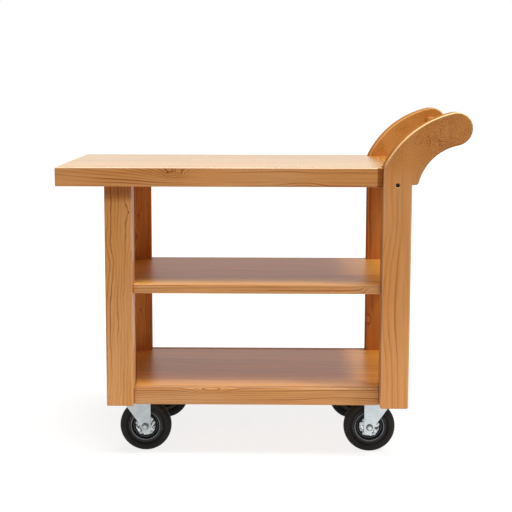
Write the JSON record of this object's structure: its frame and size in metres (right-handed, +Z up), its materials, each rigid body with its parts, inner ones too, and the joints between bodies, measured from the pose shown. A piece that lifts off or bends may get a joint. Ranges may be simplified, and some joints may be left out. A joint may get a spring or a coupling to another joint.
{
  "type": "rolling butcher block table",
  "caption": "Rolling butcher block table: thick overhanging wooden top, curved handle wings joined by a bar, middle shelf, framed bottom deck and swivel casters.",
  "frame": {"origin": "on the floor, under the middle of the overall length and depth", "axes": "+X along the table towards the handle, +Y towards the rear long edge, +Z up"},
  "size_m": [1.16, 0.652, 0.9989],
  "materials": {
    "pine_panels": "satin varnished pine, horizontal grain",
    "pine_frame": "satin varnished pine, upright grain",
    "zinc": "bright zinc-plated pressed steel",
    "dark_steel": "blackened steel",
    "tyre_rubber": "matt black solid rubber"
  },
  "bodies": {
    "frame": {"butcher_block_top": "pine_panels", "middle_shelf": "pine_panels", "bottom_deck": "pine_panels", "front_deck_rail": "pine_panels", "rear_deck_rail": "pine_panels", "left_deck_rail": "pine_panels", "right_deck_rail": "pine_panels", "handle_bar": "pine_panels", "front_left_leg": "pine_frame", "rear_left_leg": "pine_frame", "front_handle_leg": "pine_frame", "rear_handle_leg": "pine_frame", "handle_end_rail": "pine_frame", "upper_end_rail": "pine_frame", "left_shelf_bearer": "pine_frame", "right_shelf_bearer": "pine_frame", "front_handle_bolt": "dark_steel", "rear_handle_bolt": "dark_steel", "front_barrel_nut": "dark_steel", "rear_barrel_nut": "dark_steel", "front_left_caster_plate": "zinc", "front_left_kingpin": "zinc", "rear_left_caster_plate": "zinc", "rear_left_kingpin": "zinc", "front_right_caster_plate": "zinc", "front_right_kingpin": "zinc", "rear_right_caster_plate": "zinc", "rear_right_kingpin": "zinc"},
    "front_left_caster": {"front_left_fork": "zinc", "front_left_ball_race": "dark_steel", "front_left_axle_bolt": "zinc", "front_left_axle_nut": "zinc"},
    "front_left_wheel": {"front_left_rim": "zinc", "front_left_tyre": "tyre_rubber", "front_left_hub_bush": "dark_steel"},
    "rear_left_caster": {"rear_left_fork": "zinc", "rear_left_ball_race": "dark_steel", "rear_left_axle_bolt": "zinc", "rear_left_axle_nut": "zinc"},
    "rear_left_wheel": {"rear_left_rim": "zinc", "rear_left_tyre": "tyre_rubber", "rear_left_hub_bush": "dark_steel"},
    "front_right_caster": {"front_right_fork": "zinc", "front_right_ball_race": "dark_steel", "front_right_axle_bolt": "zinc", "front_right_axle_nut": "zinc"},
    "front_right_wheel": {"front_right_rim": "zinc", "front_right_tyre": "tyre_rubber", "front_right_hub_bush": "dark_steel"},
    "rear_right_caster": {"rear_right_fork": "zinc", "rear_right_ball_race": "dark_steel", "rear_right_axle_bolt": "zinc", "rear_right_axle_nut": "zinc"},
    "rear_right_wheel": {"rear_right_rim": "zinc", "rear_right_tyre": "tyre_rubber", "rear_right_hub_bush": "dark_steel"}
  },
  "joints": [
    {"name": "front_left_swivel", "type": "hinge", "parent": "frame", "child": "front_left_caster", "pos_m": [-0.378, -0.186, 0.16], "axis": [0, 0, 1], "continuous": true},
    {"name": "front_left_roll", "type": "hinge", "parent": "front_left_caster", "child": "front_left_wheel", "pos_m": [-0.344, -0.186, 0.076], "axis": [0, 1, 0], "continuous": true},
    {"name": "rear_left_swivel", "type": "hinge", "parent": "frame", "child": "rear_left_caster", "pos_m": [-0.352, 0.186, 0.16], "axis": [0, 0, 1], "continuous": true},
    {"name": "rear_left_roll", "type": "hinge", "parent": "rear_left_caster", "child": "rear_left_wheel", "pos_m": [-0.318, 0.186, 0.076], "axis": [0, 1, 0], "continuous": true},
    {"name": "front_right_swivel", "type": "hinge", "parent": "frame", "child": "front_right_caster", "pos_m": [0.34953, -0.186, 0.16], "axis": [0, 0, 1], "continuous": true},
    {"name": "front_right_roll", "type": "hinge", "parent": "front_right_caster", "child": "front_right_wheel", "pos_m": [0.31553, -0.186, 0.076], "axis": [0, 1, 0], "continuous": true},
    {"name": "rear_right_swivel", "type": "hinge", "parent": "frame", "child": "rear_right_caster", "pos_m": [0.32353, 0.186, 0.16], "axis": [0, 0, 1], "continuous": true},
    {"name": "rear_right_roll", "type": "hinge", "parent": "rear_right_caster", "child": "rear_right_wheel", "pos_m": [0.28953, 0.186, 0.076], "axis": [0, 1, 0], "continuous": true}
  ]
}
